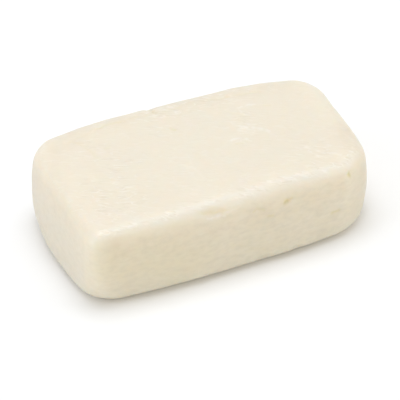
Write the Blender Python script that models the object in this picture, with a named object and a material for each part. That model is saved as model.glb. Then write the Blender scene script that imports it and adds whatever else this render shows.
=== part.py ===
"""A block of halloumi: one soft, pressed slab with rounded edges, swollen sides and small surface marks.

The slab starts as a cube that is cut to size and sliced into a grid. Every point of the grid is then rounded
off, swollen and tilted by named sizes, and the pits, folds and nicks of the surface are pressed in last.
X runs along the length, Y across the width and Z up from the flat base. Sizes are in metres.
"""

import math

import bmesh
import bpy
from mathutils import Vector, noise
from mathutils.bvhtree import BVHTree

# The plain slab, before its faces swell
LENGTH = 0.1091
WIDTH = 0.0579
HEIGHT = 0.0320

# The rounding along the rim of the top face and of the base
TOP_EDGE = 0.0055
BASE_EDGE = 0.0043

# The four upright corners: radius at the top, radius at the base, how close to the base the one turns into
# the other (1 is evenly all the way down), and height against the near left corner
NEAR_LEFT = (0.0045, 0.0118, 4.0, 0.0)
NEAR_RIGHT = (0.0141, 0.0175, 1.0, -0.0013)
FAR_LEFT = (0.0093, 0.0070, 1.0, 0.0009)
FAR_RIGHT = (0.0110, 0.0070, 1.0, -0.0012)

# How far each side swells at its middle
NEAR_SWELL = 0.0011
FAR_SWELL = 0.0043
LEFT_SWELL = 0.0049
RIGHT_SWELL = 0.0019
BELLY = 0.0013
DOME = 0.0012

# The near side spreads at its foot, most at a place right of the middle (in half lengths) and over this reach
NEAR_FOOT = 0.0013
FOOT_MIDDLE = 0.20
FOOT_REACH = 1.0

# The left end leans in at its top and its rim is crisper, most of all just before its middle. The crisper
# rim fades into the rims of the long sides over this reach.
LEFT_LEAN = 0.0028
LEFT_CRISPER = 0.0024
RIM_BLEND = 0.012

# How the slab narrows to the right, and how its top is shifted over its base
NARROWING = 0.034
TOP_SHIFT = (-0.0006, 0.0008)

# Slices of the grid: a wide step on the flats and a fine one where the rim turns
FLAT_STEP = 0.0031
RIM_STEP = 0.00135
SLICE_TOLERANCE = 1e-7

# Soft waves that the mould cloth and the folding leave in the faces
WAVE_SIZE = 0.021
WAVE_DEPTH = 0.0005
RIPPLE_SIZE = 0.0085
RIPPLE_DEPTH = 0.0002
BASE_CALM = 0.004

# How far a mark strays from its straight line, and over what length. The seed makes it stray alike each time.
STRAY = 0.0006
STRAY_SIZE = 0.0045
STRAY_SEED = 3

# Marks in the surface: start, end, half width and depth. A raised one has a depth below zero. Each end is
# given near the surface and is laid on it.
MARKS = {
    "swelling along the far rim": ((0.0240, 0.0295, 0.0305), (0.0370, 0.0292, 0.0300), 0.0050, -0.0003),
    "hollow by the far right corner": ((0.0440, 0.0265, 0.0298), (0.0450, 0.0260, 0.0298), 0.0035, 0.00035),
    "swelling of the far corner": ((0.0520, 0.0190, 0.0295), (0.0535, 0.0160, 0.0290), 0.0035, -0.00025),
    "deep pit in the near side": ((0.0178, -0.0294, 0.0253), (0.0193, -0.0292, 0.0256), 0.0009, 0.0009),
    "pit by the near right corner": ((0.0435, -0.0274, 0.0269), (0.0450, -0.0267, 0.0273), 0.0009, 0.0007),
    "slit low in the near side": ((0.0363, -0.0299, 0.0140), (0.0400, -0.0296, 0.0143), 0.0008, 0.0006),
    "shallow pit under the rim": ((0.0106, -0.0305, 0.0219), (0.0130, -0.0305, 0.0219), 0.0009, 0.00035),
    "shallow pit on the rim": ((0.0058, -0.0298, 0.0265), (0.0086, -0.0297, 0.0264), 0.0009, 0.00045),
    "hollow over the fold": ((-0.0130, -0.0283, 0.0291), (-0.0064, -0.0293, 0.0279), 0.0016, 0.00055),
    "lip of the fold": ((-0.0104, -0.0297, 0.0270), (-0.0043, -0.0298, 0.0273), 0.0009, -0.00035),
    "end of the lip": ((-0.0043, -0.0298, 0.0273), (-0.0006, -0.0294, 0.0285), 0.0009, -0.00035),
    "notch in the near foot": ((0.0228, -0.0310, 0.0030), (0.0236, -0.0305, 0.0018), 0.0012, 0.0009),
    "step in the near foot": ((0.0090, -0.0312, 0.0028), (0.0112, -0.0310, 0.0020), 0.0014, 0.0005),
    "nick in the far rim": ((-0.0090, 0.0310, 0.0316), (-0.0087, 0.0324, 0.0302), 0.0012, 0.0008),
    "worn rim beside the nick": ((-0.0083, 0.0315, 0.0311), (-0.0043, 0.0317, 0.0309), 0.0016, 0.00035),
    "pit in the top": ((-0.0075, 0.0163, 0.0323), (-0.0040, 0.0163, 0.0323), 0.0012, 0.0003),
    "long ridge on the top": ((0.0140, 0.0113, 0.0326), (0.0249, 0.0012, 0.0324), 0.0010, -0.00018),
    "short ridge on the top": ((0.0118, 0.0003, 0.0328), (0.0181, -0.0008, 0.0327), 0.0010, -0.00018),
    "ridge near the far rim": ((0.0176, 0.0176, 0.0324), (0.0259, 0.0166, 0.0322), 0.0010, -0.00018),
    "fold in the far side": ((0.0050, 0.0335, 0.0215), (0.0190, 0.0325, 0.0170), 0.0013, 0.0005),
    "pit in the far side": ((-0.0270, 0.0322, 0.0120), (-0.0250, 0.0325, 0.0125), 0.0010, 0.0006),
    "pit high in the far side": ((-0.0105, 0.0338, 0.0232), (-0.0080, 0.0340, 0.0228), 0.0009, 0.0004),
    "pit in the right end": ((0.0572, 0.0070, 0.0195), (0.0572, 0.0088, 0.0190), 0.0010, 0.0006),
    "crease in the right end": ((0.0570, -0.0110, 0.0120), (0.0572, -0.0030, 0.0095), 0.0009, 0.0003),
}

# Faces within this many half widths of a mark are split, while an edge is longer than this many of them
MARK_REACH = 2.0
MARK_GRAIN = 0.9
MARK_SPLITS = 2

CHEESE_COLOUR = (0.86, 0.80, 0.66, 1.0)
CHEESE_ROUGHNESS = 0.45


def clear_scene():
    for old in list(bpy.data.objects):
        bpy.data.objects.remove(old, do_unlink=True)


def steps_along(span, rim):
    """Positions of the slices across a span, close together within rim of both ends."""
    half = span / 2
    fine = round(rim / RIM_STEP)
    wide = round((span - 2 * rim) / FLAT_STEP)
    near_end = [half - rim * k / fine for k in range(1, fine + 1)]
    between = [(half - rim) * (1 - 2 * k / wide) for k in range(1, wide)]
    return near_end + between + [-place for place in near_end]


def slice_across(bm, axis, places):
    """Cuts the whole slab by planes square to an axis."""
    normal = Vector([float(axis == k) for k in range(3)])
    for place in places:
        bmesh.ops.bisect_plane(
            bm,
            geom=bm.verts[:] + bm.edges[:] + bm.faces[:],
            dist=SLICE_TOLERANCE,
            plane_co=normal * place,
            plane_no=normal,
        )


def sliced_slab():
    """A plain box with its base at zero, as a grid of quads."""
    bm = bmesh.new()
    bmesh.ops.create_cube(bm, size=1.0)
    bmesh.ops.scale(bm, vec=(LENGTH, WIDTH, HEIGHT), verts=bm.verts)
    for axis, span in enumerate((LENGTH, WIDTH, HEIGHT)):
        slice_across(bm, axis, steps_along(span, TOP_EDGE))
    bmesh.ops.translate(bm, vec=(0, 0, HEIGHT / 2), verts=bm.verts)
    return bm


def corner_at(x, y):
    if y < 0:
        return NEAR_LEFT if x < 0 else NEAR_RIGHT
    return FAR_LEFT if x < 0 else FAR_RIGHT


def left_bow(v):
    """From 0 at both corners of the left end to 1 at its middle, fuller towards the near corner."""
    return (1 - v * v) ** 2 * (1 - v / 2)


def top_rim(x, y):
    """Radius of the rim of the top face, which is crisper at the left end."""
    if x > 0:
        return TOP_EDGE
    beside = (WIDTH / 2 - abs(y)) - (LENGTH / 2 - abs(x))
    share = min(max(0.5 + beside / RIM_BLEND, 0.0), 1.0)
    return TOP_EDGE - LEFT_CRISPER * share * left_bow(2 * y / WIDTH)


def rounded(point):
    """Moves a point of the plain box onto the slab with rounded rims and corners."""
    x, y, z = point
    half_length, half_width = LENGTH / 2, WIDTH / 2
    inset = min(half_length - abs(x), half_width - abs(y))
    upper = z > HEIGHT / 2
    rim = top_rim(x, y) if upper else BASE_EDGE
    out = rim - inset
    over = z - (HEIGHT - rim) if upper else rim - z
    if out > 0 and over > 0:
        turn = math.atan2(over, out)
        new_inset = rim * (1 - math.cos(turn))
        over = rim * math.sin(turn)
        z = HEIGHT - rim + over if upper else rim - over
        x *= (half_length - new_inset) / (half_length - inset)
        y *= (half_width - new_inset) / (half_width - inset)
        inset = new_inset
    at_top, at_base, flare, _ = corner_at(x, y)
    radius = at_top + (at_base - at_top) * (1 - z / HEIGHT) ** flare
    beyond_x = abs(x) - (half_length - radius)
    beyond_y = abs(y) - (half_width - radius)
    if inset < radius and beyond_x > 0 and beyond_y > 0:
        shrink = (radius - inset) / math.hypot(beyond_x, beyond_y)
        x = math.copysign(half_length - radius + beyond_x * shrink, x)
        y = math.copysign(half_width - radius + beyond_y * shrink, y)
    return Vector((x, y, z))


def swollen(point):
    """Swells the faces, narrows the slab to the right and sets its four corners at their own heights."""
    x, y, z = point
    u, v, w = 2 * x / LENGTH, 2 * y / WIDTH, z / HEIGHT
    belly = BELLY * 4 * w * (1 - w)
    x += u * ((LEFT_SWELL if u < 0 else RIGHT_SWELL) * (1 - v * v) + belly)
    if u < 0:
        x -= u * LEFT_LEAN * w * left_bow(v)
    y += v * ((NEAR_SWELL if v < 0 else FAR_SWELL) * (1 - u * u) + belly)
    if v < 0:
        spread = max(1 - ((u - FOOT_MIDDLE) / FOOT_REACH) ** 2, 0.0)
        y += v * NEAR_FOOT * spread * (1 - w)
    y *= 1 - NARROWING * u
    right, far = (1 + u) / 2, (1 + v) / 2
    lift = NEAR_RIGHT[-1] * right * (1 - far) + FAR_LEFT[-1] * (1 - right) * far + FAR_RIGHT[-1] * right * far
    z += w * (lift + DOME * (1 - u * u) * (1 - v * v))
    return Vector((x + TOP_SHIFT[0] * w, y + TOP_SHIFT[1] * w, z))


def distance_to_mark(point, start, end):
    along = end - start
    share = 0.0
    if along.length_squared > 0:
        share = min(max((point - start).dot(along) / along.length_squared, 0.0), 1.0)
    return (point - start - along * share).length


def marks_on(bm):
    """The marks as (start, end, half width, depth), with both ends laid on the surface."""
    surface = BVHTree.FromBMesh(bm)

    def laid(place):
        return surface.find_nearest(Vector(place))[0]

    return [(laid(start), laid(end), half_width, depth) for start, end, half_width, depth in MARKS.values()]


def split_near_marks(bm, marks):
    """Adds points round each mark."""
    for _ in range(MARK_SPLITS):
        edges = {}
        for start, end, half_width, _depth in marks:
            reach = half_width * MARK_REACH
            for face in bm.faces:
                near = distance_to_mark(face.calc_center_median(), start, end) < reach
                if near and max(edge.calc_length() for edge in face.edges) > half_width * MARK_GRAIN:
                    edges.update(dict.fromkeys(face.edges))
        bmesh.ops.subdivide_edges(bm, edges=list(edges), cuts=1, use_grid_fill=True)


def relief(point, marks):
    """Height of the surface above the smooth form, from the waves and the marks."""
    height = WAVE_DEPTH * noise.noise(point / WAVE_SIZE)
    height += RIPPLE_DEPTH * noise.noise(point / RIPPLE_SIZE)
    strayed = point + noise.noise_vector(point / STRAY_SIZE) * STRAY
    for start, end, half_width, depth in marks:
        off = distance_to_mark(strayed, start, end) / half_width
        height -= depth * math.exp(-off * off)
    return height * min(point.z / BASE_CALM, 1.0)


def press_surface(bm, marks):
    """Moves every point along its normal by the relief there, keeping the base flat."""
    noise.seed_set(STRAY_SEED)
    bm.normal_update()
    moves = [(vert, vert.normal * relief(vert.co, marks)) for vert in bm.verts]
    for vert, move in moves:
        vert.co += move


def centre_on_base(bm):
    """Sets the middle of the block's box over the origin, with its flat base at zero."""
    middle = [(min(v.co[k] for v in bm.verts) + max(v.co[k] for v in bm.verts)) / 2 for k in (0, 1)]
    lowest = min(v.co.z for v in bm.verts)
    bmesh.ops.translate(bm, vec=(-middle[0], -middle[1], -lowest), verts=bm.verts)


def cheese_material():
    material = bpy.data.materials.new("halloumi")
    material.use_nodes = True
    shader = material.node_tree.nodes["Principled BSDF"]
    shader.inputs["Base Color"].default_value = CHEESE_COLOUR
    shader.inputs["Roughness"].default_value = CHEESE_ROUGHNESS
    shader.inputs["Metallic"].default_value = 0.0
    return material


def halloumi_block():
    bm = sliced_slab()
    for vert in bm.verts:
        vert.co = swollen(rounded(vert.co))
    marks = marks_on(bm)
    split_near_marks(bm, marks)
    press_surface(bm, marks)
    centre_on_base(bm)
    bmesh.ops.triangulate(bm, faces=bm.faces)
    bmesh.ops.recalc_face_normals(bm, faces=bm.faces)
    mesh = bpy.data.meshes.new("halloumi_block")
    bm.to_mesh(mesh)
    bm.free()
    mesh.shade_smooth()
    mesh.materials.append(cheese_material())
    block = bpy.data.objects.new("halloumi_block", mesh)
    bpy.context.scene.collection.objects.link(block)
    return block


clear_scene()
halloumi_block()
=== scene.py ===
# %% [markdown]
# # A block of halloumi
# Halloumi is a firm white cheese that is pressed, poached and folded, then kept in brine. A whole piece
# is a low slab, soft at every rim, with smooth moist faces and a few pits and creases where the curd
# did not close. Its plain solid is already there in a fixed frame, and the steps below dress it.
# Everything is in metres. X runs along the block, Y across it and Z up.

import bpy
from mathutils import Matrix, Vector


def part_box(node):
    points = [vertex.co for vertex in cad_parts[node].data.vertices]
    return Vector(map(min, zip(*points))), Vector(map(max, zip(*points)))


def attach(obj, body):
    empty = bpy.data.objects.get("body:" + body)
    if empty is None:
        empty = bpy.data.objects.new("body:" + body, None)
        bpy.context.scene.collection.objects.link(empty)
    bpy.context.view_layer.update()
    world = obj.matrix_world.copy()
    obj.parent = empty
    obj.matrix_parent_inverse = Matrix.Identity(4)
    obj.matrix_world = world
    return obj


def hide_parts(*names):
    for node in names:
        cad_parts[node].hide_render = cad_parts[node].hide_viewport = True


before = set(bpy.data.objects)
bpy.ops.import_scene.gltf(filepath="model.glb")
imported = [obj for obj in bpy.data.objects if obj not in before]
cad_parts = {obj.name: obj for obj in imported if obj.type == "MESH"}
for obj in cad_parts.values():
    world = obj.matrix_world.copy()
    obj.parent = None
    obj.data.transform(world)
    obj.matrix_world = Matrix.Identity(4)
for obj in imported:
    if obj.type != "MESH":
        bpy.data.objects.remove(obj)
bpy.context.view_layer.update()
print("solids in the frame", list(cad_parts))

# %% Modules and units
import math
from collections import namedtuple

import bmesh
import bpy
from mathutils import Vector, noise
from mathutils.bvhtree import BVHTree
from mathutils.kdtree import KDTree

MM = 0.001
CM = 0.01

# %% [markdown]
# ## The camera
# A long lens from well back keeps the block's long edges almost parallel. The camera looks down on the
# top face and sees one long side and one end. It could be placed by eye, but an azimuth, an elevation and
# a distance are easier to read and to change. The block sits a little high in the picture, so the camera
# aims at a point slightly below the block's middle.

# %% Camera
PICTURE = 400
BLOCK_MIDDLE = Vector((1.25, -1.39, 15.8)) * MM
BLOCK_IN_PICTURE = (204.85, 185.95)
CAMERA_AZIMUTH = math.radians(-23.8)
CAMERA_ELEVATION = math.radians(40.4)
CAMERA_DISTANCE = 1.52
SENSOR_WIDTH = 36.0
PIXELS_PER_METRE = 2763.0


def camera_axes(azimuth, elevation):
    """Unit vectors from the object back to the camera, to its right and up in its picture."""
    flat = math.cos(elevation)
    back = Vector((math.sin(azimuth) * flat, -math.cos(azimuth) * flat, math.sin(elevation)))
    right = Vector((math.cos(azimuth), math.sin(azimuth), 0))
    return back, right, back.cross(right)


back, right, up = camera_axes(CAMERA_AZIMUTH, CAMERA_ELEVATION)
offset_right = (PICTURE / 2 - BLOCK_IN_PICTURE[0]) / PIXELS_PER_METRE
offset_up = (BLOCK_IN_PICTURE[1] - PICTURE / 2) / PIXELS_PER_METRE
aim = BLOCK_MIDDLE + right * offset_right + up * offset_up

camera_data = bpy.data.cameras.new("camera")
camera_data.sensor_width = SENSOR_WIDTH
camera_data.lens = SENSOR_WIDTH * PIXELS_PER_METRE * CAMERA_DISTANCE / PICTURE
camera = bpy.data.objects.new("camera", camera_data)
camera.location = aim + back * CAMERA_DISTANCE
camera.rotation_euler = back.to_track_quat("Z", "Y").to_euler()
bpy.context.scene.collection.objects.link(camera)
bpy.context.scene.camera = camera
print("lens", round(camera_data.lens), "mm")

# %% [markdown]
# ## The block's skin
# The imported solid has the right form, but its faces are a few millimetres wide. The skin that is seen
# needs faces of about half a millimetre. A sculptor would subdivide and brush, and a Subdivision Surface
# could round the solid off, but both would drift from its size. Here a plain box is cut into small
# squares and every point is laid on the nearest place of the solid. The squares stay even, which the
# fine relief needs.

# %% A box of small squares
CHEESE_NODE = "halloumi_block"
WIDE_SQUARE = 0.88 * MM


def box_of_squares(low, high, step):
    """A box as a grid of quads, made by cutting its edges along X, then Y, then Z."""
    size = high - low
    bm = bmesh.new()
    bmesh.ops.create_cube(bm, size=1.0)
    bmesh.ops.scale(bm, vec=size, verts=bm.verts)
    bmesh.ops.translate(bm, vec=(low + high) / 2, verts=bm.verts)
    for axis in range(3):
        lines = [e for e in bm.edges if abs(e.verts[0].co[axis] - e.verts[1].co[axis]) > size[axis] / 2]
        bmesh.ops.subdivide_edges(bm, edges=lines, cuts=round(size[axis] / step) - 1, use_grid_fill=True)
    return bm


skin = box_of_squares(*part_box(CHEESE_NODE), WIDE_SQUARE)
print("squares", len(skin.faces))

# %% [markdown]
# ## Melting the facets
# Laid on the solid, the squares still follow its flat facets. Smoothing moves each point halfway to the
# middle of its neighbours, so a few passes melt the facets and a few more would shrink the block. Laying
# the points on the solid a second time between two short rounds of smoothing keeps the size.

# %% Lay the squares on the solid and smooth them
HALFWAY = 0.5
FIRST_PASSES = 7
SECOND_PASSES = 5
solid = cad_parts[CHEESE_NODE].data
solid_tree = BVHTree.FromPolygons([v.co for v in solid.vertices], [p.vertices for p in solid.polygons])


def lay_on_solid(bm):
    for vert in bm.verts:
        vert.co = solid_tree.find_nearest(vert.co)[0]


def smooth(bm, verts, passes):
    for _ in range(passes):
        bmesh.ops.smooth_vert(
            bm,
            verts=verts,
            factor=HALFWAY,
            use_axis_x=True,
            use_axis_y=True,
            use_axis_z=True,
        )


lay_on_solid(skin)
smooth(skin, skin.verts, FIRST_PASSES)
lay_on_solid(skin)
smooth(skin, skin.verts, SECOND_PASSES)
skin.normal_update()
print("volume", round(skin.calc_volume() / CM**3, 1), "cubic centimetres")

# %% [markdown]
# ## Finer squares where the fine relief goes
# The top face and its rims carry fine relief that the sides don't have. Finer squares everywhere would
# make the mesh too heavy, and a Multires modifier would refine it all alike. Cutting only the upper faces
# into four keeps the mesh light, and a few passes of smoothing round the new points off. The fine part
# ends on the upright sides, well below the rim, where a small step between both parts can't be seen.

# %% Cut the upper part into finer squares
FINE_DOWN_TO = 24 * MM
NEW_POINT_PASSES = 4


def cut_in_four(bm, faces):
    """Cuts faces in four, always in the same order, so that each run gives the same mesh."""
    edges = dict.fromkeys(edge for face in faces for edge in face.edges)
    bmesh.ops.subdivide_edges(bm, edges=list(edges), cuts=1, use_grid_fill=True)
    bm.normal_update()


cut_in_four(skin, [face for face in skin.faces if face.calc_center_median().z > FINE_DOWN_TO])
smooth(skin, [vert for vert in skin.verts if vert.co.z > FINE_DOWN_TO], NEW_POINT_PASSES)
print("faces with the fine upper part", len(skin.faces))

# %% [markdown]
# ## The marks of this block
# Every block has its own few marks: pits where two curds didn't close, a fold lip pressed over under the
# near rim, a seam and some low ridges on the top, and scratches from the mould. They could be painted by
# hand in sculpt mode. A list of named lines is easier to read: each mark is a short route in millimetres,
# its half width, its depth (below zero for a ridge), and a tint from 1, an olive yellow painted shade in a
# hollow, to -1, a pale painted highlight on a ridge.

# %% Marks on the near side
NEAR_SIDE_MARKS = {
    "deep pit": (((19.4, -31.1, 25.0), (20.3, -31.0, 25.3)), 0.85, 0.24, 0.85),
    "tail of the deep pit": (((20.3, -31.0, 25.3), (22.2, -31.1, 26.2)), 0.50, 0.14, 0.5),
    "pit by the right corner": (((45.7, -28.6, 27.1), (45.9, -28.9, 26.7)), 0.75, 0.28, 0.9),
    "low slit": (((38.1, -31.3, 13.7), (39.6, -31.1, 13.7), (41.0, -30.9, 13.9)), 0.60, 0.25, 0.6),
    "shallow pit": (((12.9, -32.1, 21.5), (14.0, -32.0, 21.3)), 0.70, 0.18, 0.5),
    "arc under the rim": (((6.8, -31.6, 25.3), (8.5, -31.2, 26.1), (10.6, -31.8, 24.9)), 0.50, 0.12, 0.35),
    "hollow over the fold": (((-12.5, -29.2, 29.6), (-9.9, -29.8, 28.8), (-5, -30.5, 28.3)), 0.65, 0.10, 0.3),
    "tail of the hollow": (((-5, -30.5, 28.3), (-1.5, -30.8, 28.7), (1.0, -30.6, 29.1)), 0.45, 0.07, 0.25),
    "swelling over it": (((-9.5, -28.4, 30.6), (-5.0, -29.1, 30.2)), 1.10, -0.08, 0.02),
    "lip of the fold": (((-10.8, -30.9, 27.6), (-7.9, -31.4, 27.3), (-4.5, -31.5, 27.4)), 0.50, -0.09, -0.8),
    "end of the lip": (((-4.5, -31.5, 27.3), (-1.9, -31.6, 28.0)), 0.45, -0.07, -0.6),
    "scratch": (((-3.8, -33.1, 15.0), (3.7, -32.9, 10.8), (11.3, -32.8, 6.7)), 0.40, 0.06, 0.12),
    "scratch beside it": (((3.7, -32.9, 8.5), (10.0, -32.9, 10.5)), 0.45, 0.05, 0.1),
    "notch in the foot": (((23.0, -32.6, 3.6), (24.8, -32.2, 3.0)), 0.80, 0.40, 0.1),
    "step in the foot": (((10.4, -32.2, 3.2), (11.9, -32.3, 3.2)), 0.90, 0.25, 0.05),
}
print("marks on the near side", len(NEAR_SIDE_MARKS))

# %% [markdown]
# ## Marks on the top
# The top is smoother than the near side, and its marks are shallow: a seam, a few low ridges, some
# grooves along the far rim and one nick in it. They are listed as those of the side are.

# %% Ridges and seam of the top
TOP_RIDGES = {
    "seam": (
        ((-5.5, -2.4, 33.0), (-6.4, -7.5, 32.9), (-5.9, -12.2, 32.8), (-4.4, -17.0, 32.4)),
        0.50, -0.04, -0.2,
    ),
    "branch of the seam": (((-8.9, -9.2, 32.8), (-8.0, -15.3, 32.6)), 0.50, -0.04, -0.2),
    "start of the ridge": (((15.7, 10.1, 32.6), (17.6, 6.5, 32.8)), 0.45, -0.04, -0.4),
    "long ridge": (
        ((17.6, 6.5, 32.8), (19.3, 4.8, 32.8), (23.2, 3.0, 32.6), (27.3, -0.3, 32.3)),
        0.50, -0.08, -0.8,
    ),
    "ridge beside it": (((22.2, 1.6, 32.6), (24.9, 0.7, 32.6), (26.9, -1.0, 32.3)), 0.40, -0.05, -0.5),
    "short ridge": (((12.2, -0.4, 32.8), (14.6, -0.3, 32.8), (19.0, -2.7, 32.7)), 0.55, -0.08, -0.8),
    "thin ridge": (((22.4, 16.3, 32.3), (25.6, 16.3, 32.2), (28.6, 15.7, 32.1)), 0.50, -0.07, -0.8),
    "end of the thin ridge": (((21.8, 15.8, 32.3), (22.5, 13.0, 32.4)), 0.40, -0.05, -0.5),
    "first right stroke": (((35.8, -13.0, 31.6), (41.2, -18.4, 31.2)), 0.50, -0.05, -0.5),
    "second right stroke": (((40.6, -17.2, 31.2), (45.7, -21.7, 31.1)), 0.50, -0.05, -0.5),
}
print("ridges on the top", len(TOP_RIDGES))

# %% Pits and grooves of the top
TOP_GROOVES = {
    "nick in the far rim": (((-6.6, 31.2, 29.6), (-7.2, 28.5, 31.7), (-6.4, 26.4, 32.3)), 0.90, 0.60, 0.2),
    "olive pit": (((-4.6, 14.9, 32.2), (-3.8, 14.1, 32.2)), 0.80, 0.20, 0.45),
    "crease": (
        ((-40.1, 21.1, 33.0), (-38.3, 19.0, 33.1), (-36.8, 14.1, 33.0), (-35.8, 10.0, 33.0)),
        0.80, 0.14, 0.15,
    ),
    "olive end of the crease": (((-40.1, 21.1, 33.0), (-38.3, 19.0, 33.1)), 1.00, 0.05, 0.25),
    "faint olive spot": (((-31.5, 13.7, 33.0), (-29.6, 13.6, 32.8)), 0.60, 0.06, 0.2),
    "groove before the short ridge": (((13.1, -2.7, 32.8), (15.6, -3.4, 32.7)), 0.50, 0.07, 0.3),
    "wavy hollow": (((17.1, 16.0, 32.3), (19.9, 13.4, 32.4), (22.6, 10.4, 32.4)), 0.50, 0.06, 0.1),
    "short groove": (((31.4, 14.1, 31.9), (33.8, 13.2, 31.8)), 0.40, 0.06, 0.2),
    "groove far left": (((-42.1, 22.0, 33.0), (-34.4, 23.7, 32.9), (-28.0, 25.5, 32.7)), 0.60, 0.10, 0.08),
    "brown line": (((-29.0, 25.4, 32.7), (-25.0, 25.9, 32.6), (-20.4, 25.6, 32.6)), 0.60, 0.12, 0.3),
    "groove by the far rim": (((-20.4, 25.6, 32.6), (-12.4, 25.6, 32.5), (3.2, 25, 32.1)), 0.60, 0.10, 0.08),
    "groove far right": (((12.6, 25.8, 31.9), (20.6, 23.8, 32.0), (33.2, 22.4, 31.7)), 0.80, 0.12, 0.12),
}
print("pits and grooves on the top", len(TOP_GROOVES))

# %% [markdown]
# ## Marks on the sides away from the camera
# The far side and the right end came out of the same mould, so they get a few marks of the same kinds. Left
# blank, they would look like plastic from behind.

# %% Marks on the far side and the right end
HIDDEN_SIDE_MARKS = {
    "fold in the far side": (((6.7, 32.0, 21.5), (14.0, 32.0, 19.5), (20.7, 31.0, 17.0)), 0.90, 0.25, 0.25),
    "pit in the far side": (((-25.3, 30.7, 12.0), (-23.3, 31.0, 12.5)), 0.80, 0.40, 0.7),
    "pit high in the far side": (((-8.8, 32.3, 23.2), (-6.3, 32.5, 22.8)), 0.75, 0.28, 0.5),
    "scratch in the far side": (((28.0, 29.0, 12.0), (36.0, 28.0, 15.5)), 0.45, 0.06, 0.12),
    "pit in the right end": (((58.9, 5.5, 19.5), (58.9, 7.3, 19.0)), 0.80, 0.40, 0.7),
    "crease in the right end": (((58.7, -12.5, 12.0), (58.9, -4.5, 9.5)), 0.60, 0.15, 0.2),
}
Mark = namedtuple("Mark", "route half_width depth tint")
ALL_MARKS = {**NEAR_SIDE_MARKS, **TOP_RIDGES, **TOP_GROOVES, **HIDDEN_SIDE_MARKS}
MARKS = {name: Mark(*mark) for name, mark in ALL_MARKS.items()}
print("marks in all", len(MARKS))

# %% [markdown]
# ## Laying the marks on the skin
# The routes are given near the surface, and their points are laid on the skin, so that a change of the
# block's form carries them along. Points are found by a KD tree, which is a quick way to ask what lies
# within a distance of a place. The faces round a mark are cut in four once more, so that even a small pit
# is made by a dozen points or more.

# %% Routes on the skin
MARK_REACH = 2.4


def laid_routes(bm):
    """Each mark's route, laid on the surface, by name."""
    surface = BVHTree.FromBMesh(bm)

    def laid(place):
        return surface.find_nearest(Vector(place) * MM)[0]

    return {name: [laid(place) for place in mark.route] for name, mark in MARKS.items()}


def distance_to_route(point, route):
    nearest = math.inf
    for start, end in zip(route, route[1:]):
        along = end - start
        share = min(max((point - start).dot(along) / along.length_squared, 0.0), 1.0)
        nearest = min(nearest, (point - start - along * share).length)
    return nearest


routes = laid_routes(skin)
print("longest route of a mark", max(len(route) for route in routes.values()), "points")


# %% Points near a route
def tree_of(places):
    tree = KDTree(len(places))
    for index, place in enumerate(places):
        tree.insert(place, index)
    tree.balance()
    return tree


def indices_near(tree, route, reach):
    """Indices of the tree's places within reach of any stretch of a route."""
    found = set()
    for start, end in zip(route, route[1:]):
        radius = (end - start).length / 2 + reach
        found.update(index for _, index, _ in tree.find_range((start + end) / 2, radius))
    return found


print("a mark reaches", MARK_REACH, "half widths to each side")


# %% Cut the faces near the marks
def cut_near_marks(bm, routes):
    centres = [face.calc_center_median() for face in bm.faces]
    tree = tree_of(centres)
    chosen = set()
    for name, route in routes.items():
        reach = MARKS[name].half_width * MM * MARK_REACH
        for index in indices_near(tree, route, reach):
            if distance_to_route(centres[index], route) < reach:
                chosen.add(index)
    bm.faces.ensure_lookup_table()
    cut_in_four(bm, [bm.faces[index] for index in sorted(chosen)])


cut_near_marks(skin, routes)
print("faces with the marks", len(skin.faces))

# %% [markdown]
# ## What each point remembers
# A point of the skin keeps seven numbers for the material: how much olive yellow painted shade lies in a
# pit, together with a yellower painted warm light on a part of the near side; how much pale painted
# highlight lies on a ridge; how wet it is on the near rim; how fibrous; how much whiter painted highlight
# lies on an edge; how much painted shade lies on a rim; and how upright it stands. They could be painted as
# colours, but a mesh attribute for each one keeps its meaning, and the relief is worked out at the same
# time, so colour and form always agree.

# %% Attributes on the points
yellow_shade_and_light_layer = skin.verts.layers.float.new("yellow_shade_and_light")
ridge_highlight_layer = skin.verts.layers.float.new("ridge_highlight")
wet_layer = skin.verts.layers.float.new("wet")
fibrous_layer = skin.verts.layers.float.new("fibrous")
edge_highlight_layer = skin.verts.layers.float.new("edge_highlight")
rim_shade_layer = skin.verts.layers.float.new("rim_shade")
upright_layer = skin.verts.layers.float.new("upright")
print("attributes", skin.verts.layers.float.keys())

# %% [markdown]
# ## Pressing the marks
# A mark is deepest on its route and fades over its half width like a bell curve. A straight clean line
# would look machined, so each point is first moved a little by a noise vector before its distance is
# measured, which makes the line stray and its edges ragged. A thin ridge also breaks into dashes, where a
# noise along it falls under a threshold. Noise vectors start from the clock, so they are given a seed.

# %% Straying lines and dashes
STRAY_SEED = 3
STRAY = 0.5 * MM
STRAY_SIZE = 1.8 * MM
DASH_SIZE = 1.7 * MM
DASH_FROM, DASH_FULL = -0.4, 0.1
noise.seed_set(STRAY_SEED)


def strayed(point):
    return point + noise.noise_vector(point / STRAY_SIZE) * STRAY


def dashes(point):
    """From 0 in the gaps of a ridge to 1 on its dashes."""
    return min(max((noise.noise(point / DASH_SIZE) - DASH_FROM) / (DASH_FULL - DASH_FROM), 0.0), 1.0)


print("a line strays by up to", STRAY / MM, "mm")

# %% Press the marks
THIN_RIDGE = 1.0


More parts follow.
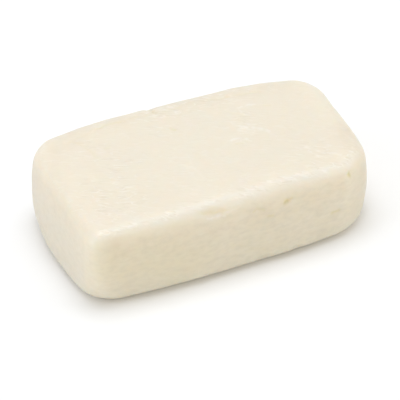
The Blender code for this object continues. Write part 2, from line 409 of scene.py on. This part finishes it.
def mark_heights(bm, routes):
    """Height of every point over the plain skin from the marks, with their tints noted on the points."""
    heights = [0.0] * len(bm.verts)
    tree = tree_of([vert.co for vert in bm.verts])
    bm.verts.ensure_lookup_table()
    for name, route in routes.items():
        mark = MARKS[name]
        reach = mark.half_width * MM * MARK_REACH
        for index in indices_near(tree, route, reach):
            vert = bm.verts[index]
            off = distance_to_route(strayed(vert.co), route) / (mark.half_width * MM)
            share = math.exp(-off * off)
            if mark.depth < 0 and mark.half_width < THIN_RIDGE:
                share *= dashes(vert.co)
            heights[index] -= mark.depth * MM * share
            # A tint above zero is an olive yellow painted shade in a hollow, and a tint below zero a pale
            # painted highlight on a ridge.
            layer = yellow_shade_and_light_layer if mark.tint > 0 else ridge_highlight_layer
            vert[layer] = max(vert[layer], abs(mark.tint) * share)
    return heights


heights = mark_heights(skin, routes)
print("deepest mark", round(-min(heights) / MM, 2), "mm")

# %% [markdown]
# ## Wide painted light and shade
# Some places are painted lighter or darker without any mark: the far rim and both ends of the block get a
# painted shade, the near left corner and the upright edge under it a whiter painted highlight, and a part
# of the near side a yellower painted warm light. Each of these is a route with a wide soft edge and a share
# that is noted on the points. A large soft brush would do the same by hand.

# %% Spread the wide tints
TINT_REACH = 1.8
FAR_RIM = ((-54, 14, 32), (-48, 23, 32.8), (-35, 28, 32.3), (0, 28.5, 32), (43, 25, 30.4))
LEFT_RIM = ((-53, 14, 32), (-54.8, -4, 31.2), (-54, -22, 30.8), (-47, -30.5, 29.5))
RIGHT_RIM = ((53.5, -9, 30.2), (52, -18.3, 30.7), (51.6, -27.1, 21), (51, -27.5, 8))
WIDE_PAINTED_LIGHT_AND_SHADE = {
    # The far rim and both ends get a painted shade.
    "far rim": ("rim_shade", FAR_RIM, 5.5, 0.6),
    "left rim": ("rim_shade", LEFT_RIM, 3.5, 0.8),
    "right rim": ("rim_shade", RIGHT_RIM, 4.5, 0.9),
    # The near left corner and the upright edge under it get a whiter painted highlight.
    "near left corner": ("edge_highlight", ((-49, -22, 32), (-38, -27, 32)), 6.0, 0.4),
    "upright edge under it": ("edge_highlight", ((-52.5, -28.5, 27), (-53, -29.5, 5)), 3.0, 0.3),
    # A yellower painted warm light on the left part of the near side.
    "left part of the near side": ("yellow_shade_and_light", ((-45, -31, 20), (-20, -32.5, 12)), 11.0, 0.22),
}


def spread_painted_light_and_shade(bm):
    tree = tree_of([vert.co for vert in bm.verts])
    for layer_name, places, half_width, strength in WIDE_PAINTED_LIGHT_AND_SHADE.values():
        layer = bm.verts.layers.float[layer_name]
        route = [Vector(place) * MM for place in places]
        for index in indices_near(tree, route, half_width * MM * TINT_REACH):
            vert = bm.verts[index]
            off = distance_to_route(vert.co, route) / (half_width * MM)
            vert[layer] = max(vert[layer], strength * math.exp(-off * off))


spread_painted_light_and_shade(skin)
print("wide tints", len(WIDE_PAINTED_LIGHT_AND_SHADE))

# %% [markdown]
# ## Fibres of the curd
# Folding stretches the curd into fibres, and on the top they show as short strokes that all run nearly
# one way, thickest in a few patches. Single strokes could be drawn one by one. Noise that is squeezed
# across the fibres and stretched along them gives hundreds: its wide waves are relief of the skin here, and
# the material draws the thin strokes over them as pale painted highlights, with painted shade in the
# furrows between them.

# %% Patches with fibres
FIBRES_ELSEWHERE = 0.4
PATCH_EDGE = 1.6
FIBRE_PATCHES = {
    "near left": ((-40, -13), (19, 20), 1.2),
    "near right": ((38, -17), (16, 12), 1.0),
    "far rim": ((6, 25), (36, 8), 1.2),
    "far left": ((-35, 16), (12, 10), 0.9),
    "left of the middle": ((-31, 3), (16, 14), 1.0),
    "round the olive pit": ((-10, 15), (12, 8), 0.8),
    "round the ridges": ((21, 7), (14, 14), 0.8),
}


def fibre_share(point):
    """How strongly the fibres show at a place of the top: fully inside a patch, and less at its edge."""
    share = FIBRES_ELSEWHERE
    for (x, y), (reach_x, reach_y), strength in FIBRE_PATCHES.values():
        off = math.hypot((point.x / MM - x) / reach_x, (point.y / MM - y) / reach_y)
        share = max(share, strength * min(max(PATCH_EDGE * (1 - off), 0.0), 1.0))
    return share


print("fibre patches", len(FIBRE_PATCHES))

# %% Waves of the fibres
FIBRE_TURN = math.radians(-24)
FIBRE_LENGTH = 4.0 * MM
FIBRE_WIDTH = 1.3 * MM
FIBRE_BEND = 1.2 * MM
FIBRE_BEND_SIZE = 9 * MM


def fibre_wave(point):
    """Height of the fibres at a place, from -1 between them to 1 on a crest."""
    bent = point + noise.noise_vector(point / FIBRE_BEND_SIZE) * FIBRE_BEND
    along = bent.x * math.cos(FIBRE_TURN) + bent.y * math.sin(FIBRE_TURN)
    across = bent.y * math.cos(FIBRE_TURN) - bent.x * math.sin(FIBRE_TURN)
    return noise.noise(Vector((along / FIBRE_LENGTH, across / FIBRE_WIDTH, bent.z / FIBRE_WIDTH)))


print("fibres turned by", round(math.degrees(FIBRE_TURN)), "degrees")

# %% [markdown]
# ## The near rim
# The near rim stays moist, and its crest is fibrous. Where it turns down it gets a whiter painted
# highlight. The share of each is read from how far the surface leans: none on the flat top, all of it over a
# stretch of the rim, and none again on the upright side. Which rim it is shows in the way it leans. A weight
# painted by hand would do too, but this one follows the form when the form changes.

# %% Near rim
WET_RIM = (0.985, 0.93, 0.6, 0.3)
FIBROUS_CREST = (0.997, 0.985, 0.90, 0.78)
# A whiter painted highlight lies on this band of the near rim's turn.
RIM_HIGHLIGHT_BAND = (0.99, 0.95, 0.85, 0.6)
SLIGHTEST_LEAN = 0.01


def leaning_to(normal, x, y):
    """How squarely a surface leans to a side, from 0 to 1."""
    return max(normal.x * x + normal.y * y, 0.0) / math.hypot(normal.x, normal.y, SLIGHTEST_LEAN)


def rim_share(normal, stretch):
    """1 over a stretch of the rim's turn, and less outside it, by the height of the normal."""
    begin, full, fading, end = stretch
    rising = (begin - normal.z) / (begin - full)
    falling = (normal.z - end) / (fading - end)
    return min(max(min(rising, falling), 0.0), 1.0)


rim_turn = [round(math.degrees(math.acos(lean))) for lean in WET_RIM]
print("wet rim from", rim_turn[0], "to", rim_turn[-1], "degrees")

# %% [markdown]
# ## Upright sides
# The sides are cloudier and more grainy than the top, and the left end is the smoothest of them. Each face
# could have a material of its own, but that would leave a hard line along the rims. Here the material
# reads how upright the surface stands, so one face turns softly into the next.

# %% Share of the upright sides
UPRIGHT_FROM, UPRIGHT_FULL = 0.75, 0.35
LEFT_END_CALMER = 0.4


def upright_share(normal):
    """From 0 on the top and the flatter part of a rim to 1 on the sides, and less on the smooth left end."""
    share = min(max((UPRIGHT_FROM - abs(normal.z)) / (UPRIGHT_FROM - UPRIGHT_FULL), 0.0), 1.0)
    return share * (1 - LEFT_END_CALMER * leaning_to(normal, -1, 0))


print("upright on the near side", upright_share(Vector((0, -1, 0))))

# %% [markdown]
# ## Uneven faces
# No face of a pressed cheese is quite even. Two layers of soft noise, one of the size of a thumb and one
# of the size of a lentil, break up the shading on every side. Both fade out just above the base, which
# stays flat, so that the block rests as the solid does.

# %% Press the whole relief into the skin
UPWARD = 0.4
FIBRE_HEIGHT = 0.05 * MM
FIBRES_ON_CREST = 1.7
DENT_SIZE = 9.0 * MM
DENT_DEPTH = 0.10 * MM
GRAIN_SIZE = 2.6 * MM
GRAIN_DEPTH = 0.022 * MM
BASE_CALM = 3.0 * MM


def unevenness(point):
    return DENT_DEPTH * noise.noise(point / DENT_SIZE) + GRAIN_DEPTH * noise.noise(point / GRAIN_SIZE)


def press_relief(bm, heights):
    """Moves every point by its marks, fibres and dents, and notes on it what the material needs."""
    for index, vert in enumerate(bm.verts):
        place = vert.co.copy()
        height = heights[index] + unevenness(place)
        vert[upright_layer] = upright_share(vert.normal)
        if vert.normal.z > UPWARD:
            near = leaning_to(vert.normal, 0, -1)
            crest = FIBRES_ON_CREST * near * rim_share(vert.normal, FIBROUS_CREST)
            fibrous = max(fibre_share(place) * min((vert.normal.z - UPWARD) / UPWARD, 1.0), crest)
            height += FIBRE_HEIGHT * fibrous * fibre_wave(place)
            vert[fibrous_layer] = fibrous
            vert[wet_layer] = near * rim_share(vert.normal, WET_RIM)
            # A whiter painted highlight where the near rim turns down.
            vert[edge_highlight_layer] = max(vert[edge_highlight_layer], near * rim_share(vert.normal, RIM_HIGHLIGHT_BAND))
        heights[index] = height * min(max(place.z / BASE_CALM, 0.0), 1.0)
    for vert, height in zip(bm.verts, heights):
        vert.co += vert.normal * height


skin.normal_update()
press_relief(skin, heights)
print("relief from", round(min(heights) / MM, 2), "to", round(max(heights) / MM, 2), "mm")

# %% [markdown]
# ## The piece
# The bmesh becomes a mesh and an object, at the origin and unturned. It stands for the solid of the frame
# and rides on its body. Smooth shading blends the small faces.

# %% Make it a mesh
mesh = bpy.data.meshes.new("halloumi_skin")
skin.to_mesh(mesh)
skin.free()
mesh.shade_smooth()
cheese = bpy.data.objects.new("halloumi_skin", mesh)
bpy.context.scene.collection.objects.link(cheese)
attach(cheese, "root")
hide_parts(CHEESE_NODE)
mesh.calc_loop_triangles()
print("triangles", len(mesh.loop_triangles))

# %% [markdown]
# ## The cheese's material
# Halloumi is ivory white and lets light in: it is scattered for several millimetres, most of all the red,
# which warms the shaded side. A painted gradient would be wrong from every other side, so the Principled
# shader's subsurface scattering does it, by its random walk. Numbers that are the same all over are set
# on the shader's own sockets. The thin coat stands for the film of brine.

# %% Shader
SCATTER_REACH = 8 * MM
SCATTER_OF_RED_GREEN_BLUE = (1.0, 0.85, 0.7)
BRINE_FILM = 0.06
BRINE_ROUGHNESS = 0.24
material = bpy.data.materials.new("halloumi")
material.use_nodes = True
nodes, links = material.node_tree.nodes, material.node_tree.links
shader = nodes["Principled BSDF"]
shader.inputs["Subsurface Weight"].default_value = 1.0
shader.inputs["Subsurface Radius"].default_value = SCATTER_OF_RED_GREEN_BLUE
shader.inputs["Subsurface Scale"].default_value = SCATTER_REACH
shader.inputs["Coat Weight"].default_value = BRINE_FILM
shader.inputs["Coat Roughness"].default_value = BRINE_ROUGHNESS
mesh.materials.append(material)
print("subsurface by", shader.subsurface_method)

# %% [markdown]
# ## Helpers for nodes
# A material is a tree of nodes, and building it by hand in the Shader Editor takes many clicks. A few short
# functions each add one node, set its numbers and link it, so that the steps after them read like a recipe.


# %% Nodes for patterns
def add_node(kind, **inputs):
    """A node with the numbers of its inputs, whose names have _ for a space."""
    node = nodes.new(kind)
    for name, value in inputs.items():
        node.inputs[name.replace("_", " ")].default_value = value
    return node


def stretched_noise(coordinates, size, stretch, detail, turn=0.0):
    """Noise from 0 to 1 with features of about this size, stretched along X, Y and Z and then turned."""
    placed = add_node("ShaderNodeMapping", Rotation=(0, 0, turn), Scale=[size * s for s in stretch])
    placed.vector_type = "TEXTURE"
    texture = add_node("ShaderNodeTexNoise", Scale=1.0, Detail=detail, Roughness=0.5)
    links.new(coordinates, placed.inputs["Vector"])
    links.new(placed.outputs["Vector"], texture.inputs["Vector"])
    return texture.outputs["Fac"]


def share_of(name):
    """The share that the skin's points keep under this name."""
    node = nodes.new("ShaderNodeAttribute")
    node.attribute_name = name
    return node.outputs["Fac"]


object_place = nodes.new("ShaderNodeTexCoord").outputs["Object"]
print("patterns read", object_place.name, "coordinates")


# %% Nodes for numbers
def ranged(value, low, high, to_low=0.0, to_high=1.0):
    """A Map Range node from one range to another."""
    node = add_node("ShaderNodeMapRange")
    for index, number in enumerate((low, high, to_low, to_high), start=1):
        node.inputs[index].default_value = number
    links.new(value, node.inputs["Value"])
    return node.outputs["Result"]


def worked_out(operation, *values):
    """A Math node of numbers or number outputs."""
    node = nodes.new("ShaderNodeMath")
    node.operation = operation
    for socket, value in zip(node.inputs, values):
        if isinstance(value, (int, float)):
            socket.default_value = value
        else:
            links.new(value, socket)
    return node.outputs[0]


print("nodes so far", len(nodes))


# %% Nodes for colours
def blend_colour(share, first, second):
    """A Mix node between two colours or colour outputs."""
    mix = nodes.new("ShaderNodeMix")
    mix.data_type = "RGBA"
    links.new(share, mix.inputs["Factor"])
    for socket, colour in ((mix.inputs[6], first), (mix.inputs[7], second)):
        if isinstance(colour, tuple):
            socket.default_value = colour
        else:
            links.new(colour, socket)
    return mix.outputs[2]


def tinted(curd, share, amount, tint):
    """The curd's colour with a tint laid over it, by a share and up to an amount."""
    return blend_colour(ranged(share, 0, 1, 0, amount), curd, tint)


print("helpers for colours ready")

# %% [markdown]
# ## Clouds in the ivory
# The curd isn't one colour. Soft clouds of a creamier and a whiter tone lie side by side, some as wide as
# a thumb and others of a few millimetres, drawn out along the block where it was folded. Noise textures
# read the piece's own Object coordinates, so the clouds stay in place from every side.

# %% Clouds, mottle and specks
CLOUD_SIZE = 14 * MM
MOTTLE_SIZE = 3.6 * MM
SPECK_SIZE = 2.2 * MM
CLOUD_STRETCH = (1.6, 1.0, 0.8)
SPECK_STRETCH = (1.5, 1.0, 0.8)
CLOUDS_ON_TOP = 0.25
SPECKS_ON_TOP = 0.08
clouds = stretched_noise(object_place, CLOUD_SIZE, CLOUD_STRETCH, 2.0)
mottle = stretched_noise(object_place, MOTTLE_SIZE, CLOUD_STRETCH, 3.0)
specks = stretched_noise(object_place, SPECK_SIZE, SPECK_STRETCH, 5.0)
clouded = ranged(share_of("upright"), 0, 1, CLOUDS_ON_TOP, 1)
specked = ranged(share_of("upright"), 0, 1, SPECKS_ON_TOP, 1)
print("clouds of", CLOUD_SIZE / MM, "mm, mottle of", MOTTLE_SIZE / MM, "mm, specks of", SPECK_SIZE / MM, "mm")

# %% Ivory and its other tones
IVORY = (0.88, 0.81, 0.69, 1)
CREAM = (0.875, 0.80, 0.665, 1)
WHITE_CURD = (0.905, 0.845, 0.745, 1)
GREY_CURD = (0.82, 0.755, 0.64, 1)
CREAM_EDGES = (0.35, 0.65)
WHITE_EDGES = (0.45, 0.75)
GREY_EDGES = (0.42, 0.72)
WHITE_AMOUNT = 0.6
creamy = worked_out("MULTIPLY", ranged(clouds, *CREAM_EDGES), clouded)
whiter = worked_out("MULTIPLY", ranged(mottle, *WHITE_EDGES, 0.0, WHITE_AMOUNT), clouded)
greyer = worked_out("MULTIPLY", ranged(specks, *GREY_EDGES), specked)
curd = blend_colour(creamy, IVORY, CREAM)
curd = blend_colour(whiter, curd, WHITE_CURD)
curd = blend_colour(greyer, curd, GREY_CURD)
print("ivory from", CREAM[:3], "to", WHITE_CURD[:3])

# %% [markdown]
# ## Thin strokes
# The single fibres are thinner than the skin's squares, so the material draws them. A stretched noise has
# long winding lines along its middle height, like the contour of a slope. The distance from that height
# makes a thin line, and a second noise breaks it into strokes. The skin's attribute says where they show.

# %% Strokes and furrows
STROKE_SIZE = 1.6 * MM
FURROW_SIZE = 1.9 * MM
STROKE_STRETCH = (3.6, 1.0, 1.0)
STROKE_WIDTH = 0.07
MIDDLE_HEIGHT = 0.5
GAP_SIZE = 2.3 * MM
GAP_STRETCH = (2.0, 0.7, 1.0)
GAP_EDGES = (0.42, 0.56)


def broken_lines(size, width):
    """Thin strokes along the fibres, from 0 beside a stroke to 1 on it."""
    wave = stretched_noise(object_place, size, STROKE_STRETCH, 1.0, FIBRE_TURN)
    off_middle = worked_out("ABSOLUTE", worked_out("SUBTRACT", wave, MIDDLE_HEIGHT))
    line = ranged(off_middle, 0.0, width, 1.0, 0.0)
    gaps = ranged(stretched_noise(object_place, GAP_SIZE, GAP_STRETCH, 1.0, FIBRE_TURN), *GAP_EDGES)
    return worked_out("MULTIPLY", line, gaps)


strokes = worked_out("MULTIPLY", broken_lines(STROKE_SIZE, STROKE_WIDTH), share_of("fibrous"))
# Darker lines between the strokes, painted as shade in the furrows.
furrow_shade = worked_out("MULTIPLY", broken_lines(FURROW_SIZE, STROKE_WIDTH), share_of("fibrous"))
print("strokes of", round(2 * STROKE_WIDTH * STROKE_SIZE / MM, 2), "mm")

# %% [markdown]
# ## Painted highlights and painted shade
# The ridges and strokes are painted paler as highlights. Where the near rim turns down it gets a whiter
# painted highlight, and so do the near left corner and the upright edge under it. The furrows between the
# fibres are painted darker as shade, and the rims get a painted shade in clouds. Pits and hollows get an
# olive yellow painted shade, and a part of the near side a yellower painted warm light. Each share mixes in
# a colour of its own.

# %% Pale, dull and yellow places
PALE_HIGHLIGHT_CURD = (0.95, 0.90, 0.82, 1)
WHITER_HIGHLIGHT_CURD = (0.87, 0.818, 0.73, 1)
PAINTED_YELLOW = (0.80, 0.735, 0.46, 1)
SHADED_CURD = (0.80, 0.73, 0.61, 1)
EDGE_HIGHLIGHT_AMOUNT = 0.8
FURROW_SHADE_AMOUNT = 0.5
STROKE_HIGHLIGHT_AMOUNT = 0.6
RIDGE_HIGHLIGHT_AMOUNT = 0.9
PAINTED_YELLOW_AMOUNT = 0.8
RIM_SHADE_EDGES = (0.3, 0.65)
RIM_SHADE_AMOUNTS = (0.5, 1.0)
# A painted shade on the far rim and both ends, in clouds.
rim_shade = worked_out("MULTIPLY", share_of("rim_shade"), ranged(mottle, *RIM_SHADE_EDGES, *RIM_SHADE_AMOUNTS))
curd = blend_colour(rim_shade, curd, SHADED_CURD)
# A whiter painted highlight on the near rim, the near left corner and the upright edge under it.
curd = tinted(curd, share_of("edge_highlight"), EDGE_HIGHLIGHT_AMOUNT, WHITER_HIGHLIGHT_CURD)
# A painted shade in the furrows between the fibres.
curd = tinted(curd, furrow_shade, FURROW_SHADE_AMOUNT, SHADED_CURD)
# Pale painted highlights on the thin strokes.
curd = tinted(curd, strokes, STROKE_HIGHLIGHT_AMOUNT, PALE_HIGHLIGHT_CURD)
# Pale painted highlights on the ridges and the lip of the fold.
curd = tinted(curd, share_of("ridge_highlight"), RIDGE_HIGHLIGHT_AMOUNT, PALE_HIGHLIGHT_CURD)
# An olive yellow painted shade in the pits and hollows, and a yellower painted warm light on a part of the
# near side.
curd = tinted(curd, share_of("yellow_shade_and_light"), PAINTED_YELLOW_AMOUNT, PAINTED_YELLOW)
links.new(curd, shader.inputs["Base Color"])
print("nodes for the colour", len(nodes))

# %% [markdown]
# ## Gloss
# A moist cheese has a soft sheen. The wet near rim is glossier, the flats are drier, and fine noise keeps
# the sheen from being the same all over.

# %% Roughness
FLAT_ROUGHNESS = 0.42
RIM_ROUGHNESS = 0.36
ROUGHNESS_SPREAD = 0.07
FILM_SIZE = 2.2 * MM
FILM_STRETCH = (1.6, 1.0, 1.0)
FILM_EDGES = (0.3, 0.7)
film = stretched_noise(object_place, FILM_SIZE, FILM_STRETCH, 3.0)
wetness = ranged(share_of("wet"), 0, 1, FLAT_ROUGHNESS, RIM_ROUGHNESS)
film_spread = ranged(film, *FILM_EDGES, -ROUGHNESS_SPREAD, ROUGHNESS_SPREAD)
links.new(worked_out("ADD", wetness, film_spread), shader.inputs["Roughness"])
print("roughness", RIM_ROUGHNESS, "on the near rim,", FLAT_ROUGHNESS, "on the flats")

# %% [markdown]
# ## Bump
# What is finer than the skin's squares is left to bump: the strokes, a grain that follows them, and tiny
# pores. A Bump node works in metres here, so its distance is the real depth of what it draws.

# %% Strokes, grain and pores
STROKE_BUMP = 0.05 * MM
GRAIN_BUMP = 0.02 * MM
PORE_BUMP = 0.015 * MM
FINE_GRAIN_SIZE = 0.55 * MM
FINE_GRAIN_STRETCH = (3.0, 1.0, 1.0)
PORE_SPACING = 2.4 * MM
PORE_WIDTH = 0.16


def add_bump(height, distance, normal=None):
    """A Bump node over the one before it, if there is one."""
    bump = add_node("ShaderNodeBump", Strength=1.0, Distance=distance)
    links.new(height, bump.inputs["Height"])
    if normal is not None:
        links.new(normal, bump.inputs["Normal"])
    return bump.outputs["Normal"]


grain = stretched_noise(object_place, FINE_GRAIN_SIZE, FINE_GRAIN_STRETCH, 2.0, FIBRE_TURN)
pores = add_node("ShaderNodeTexVoronoi", Scale=1 / PORE_SPACING)
links.new(object_place, pores.inputs["Vector"])
normal = add_bump(grain, GRAIN_BUMP)
normal = add_bump(strokes, STROKE_BUMP, normal)
normal = add_bump(ranged(pores.outputs["Distance"], 0.0, PORE_WIDTH), PORE_BUMP, normal)
links.new(normal, shader.inputs["Normal"])
print("nodes in the cheese's material", len(nodes))

# %% [markdown]
# ## The floor
# The block stands on plain white paper that is so bright it has no edge. The paper could be bent up behind
# the block as in a studio, but seen from above a flat plane does as well. It is part of the stage, not of
# the object, and lies a hair below the base, so that the two never share one plane.

# %% Floor
FLOOR_SIZE = 6
FLOOR_DROP = 0.05 * MM
bpy.ops.mesh.primitive_plane_add(size=FLOOR_SIZE, location=(0, 0, -FLOOR_DROP))
floor = bpy.context.object
floor.name = "floor"
floor_material = bpy.data.materials.new("floor")
floor_material.use_nodes = True
floor_nodes, floor_links = floor_material.node_tree.nodes, floor_material.node_tree.links
floor_nodes.clear()
print("floor", FLOOR_SIZE, "m wide")

# %% [markdown]
# ## Paper that lights the block
# White paper throws light up at the sides of the block, most from before it and some from its right, where
# nothing shades it. More lamps near the ground could do that, but they would change the shadow. Here Map
# Range nodes on the paper's own Object coordinates set where each glow begins and where it is full.

# %% Lit paper with its glows
FLOOR_PLAIN = 0.8
FLOOR_GLOWS = {
    "before the block": ("Y", -0.015, -0.06, 0.25, (1.0, 0.96, 0.72, 1)),
    "right of it": ("X", 0.03, 0.10, 0.093, (1.0, 0.99, 0.93, 1)),
}


def white_paper(brightness):
    node = floor_nodes.new("ShaderNodeBsdfDiffuse")
    node.inputs["Color"].default_value = (brightness, brightness, brightness, 1)
    return node.outputs[0]


def add_glow(paper, colour, strength):
    """The paper with a glow of its own. The strength is a number or a number output."""
    glow = floor_nodes.new("ShaderNodeEmission")
    glow.inputs["Color"].default_value = colour
    if isinstance(strength, float):
        glow.inputs["Strength"].default_value = strength
    else:
        floor_links.new(strength, glow.inputs["Strength"])
    both = floor_nodes.new("ShaderNodeAddShader")
    floor_links.new(paper, both.inputs[0])
    floor_links.new(glow.outputs[0], both.inputs[1])
    return both.outputs[0]


def growing_along(axis, begin, full, strength):
    """A strength that grows along an axis of the floor, from nothing at begin to all of it at full."""
    growing = floor_nodes.new("ShaderNodeMapRange")
    for index, number in enumerate((begin, full, 0, strength), start=1):
        growing.inputs[index].default_value = number
    floor_links.new(place_on_floor.outputs[axis], growing.inputs["Value"])
    return growing.outputs["Result"]


place_on_floor = floor_nodes.new("ShaderNodeSeparateXYZ")
floor_links.new(floor_nodes.new("ShaderNodeTexCoord").outputs["Object"], place_on_floor.inputs[0])
lit = white_paper(FLOOR_PLAIN)
for axis, begin, full, strength, colour in FLOOR_GLOWS.values():
    lit = add_glow(lit, colour, growing_along(axis, begin, full, strength))
print("glows of the floor", len(FLOOR_GLOWS))

# %% [markdown]
# ## Paper that is seen
# The paper that the camera sees is a little brighter than the paper that lights the block, and a faint
# bluish glow takes the last tint out of it. A Light Path node tells the two apart, which keeps the soft
# shadow on a floor that is almost pure white.

# %% Seen paper
FLOOR_SEEN = 1.0
SEEN_GLOW = 0.022
SEEN_GLOW_COLOUR = (0.6, 0.65, 1.0, 1)
seen = add_glow(white_paper(FLOOR_SEEN), SEEN_GLOW_COLOUR, SEEN_GLOW)
lit_or_seen = floor_nodes.new("ShaderNodeMixShader")
path = floor_nodes.new("ShaderNodeLightPath")
out = floor_nodes.new("ShaderNodeOutputMaterial")
floor_links.new(path.outputs["Is Camera Ray"], lit_or_seen.inputs[0])
floor_links.new(lit, lit_or_seen.inputs[1])
floor_links.new(seen, lit_or_seen.inputs[2])
floor_links.new(lit_or_seen.outputs[0], out.inputs[0])
floor.data.materials.append(floor_material)
print("nodes in the floor's material", len(floor_nodes))

# %% [markdown]
# ## The light
# The picture has the light of a white tent: bright and cool from above, and softer from both sides. Large
# square lamps give soft shadows, and a pale warm world fills what they leave. The Standard view keeps the
# white floor white.

# %% World
WORLD_LIGHT = 0.536
WORLD_COLOUR = (1.0, 0.97, 0.87, 1)
bpy.context.scene.view_settings.view_transform = "Standard"
world = bpy.data.worlds.new("studio")
bpy.context.scene.world = world
world.use_nodes = True
background = world.node_tree.nodes["Background"]
background.inputs["Color"].default_value = WORLD_COLOUR
background.inputs["Strength"].default_value = WORLD_LIGHT
print("world", WORLD_LIGHT)


# %% Lamps
def area_light(name, place, size, watts, colour):
    """A square lamp that faces the block."""
    data = bpy.data.lights.new(name, "AREA")
    data.shape = "SQUARE"
    data.size = size
    data.energy = watts
    data.color = colour
    lamp = bpy.data.objects.new(name, data)
    lamp.location = place
    lamp.rotation_euler = Vector(place).to_track_quat("Z", "Y").to_euler()
    bpy.context.scene.collection.objects.link(lamp)
    return lamp


lamps = [
    area_light("overhead", (-0.2, 0.25, 1.1), 1.0, 1.86, (0.80, 0.87, 1.0)),
    area_light("overhead_small", (-0.05, 0.1, 1.2), 0.6, 3.29, (0.88, 0.91, 1.0)),
    area_light("overhead_right", (0.37, 0.12, 1.14), 0.7, 2.05, (0.84, 0.89, 1.0)),
    area_light("right", (1.1, -0.3, 0.7), 0.8, 1.80, (1.0, 0.96, 0.88)),
    area_light("left_side", (-1.2, 0.05, 0.3), 0.5, 1.65, (0.96, 0.98, 1.0)),
    area_light("left_up", (-0.9, 0.1, 0.75), 0.6, 1.25, (0.82, 0.88, 1.0)),
]
print("lamps", [lamp.name for lamp in lamps])
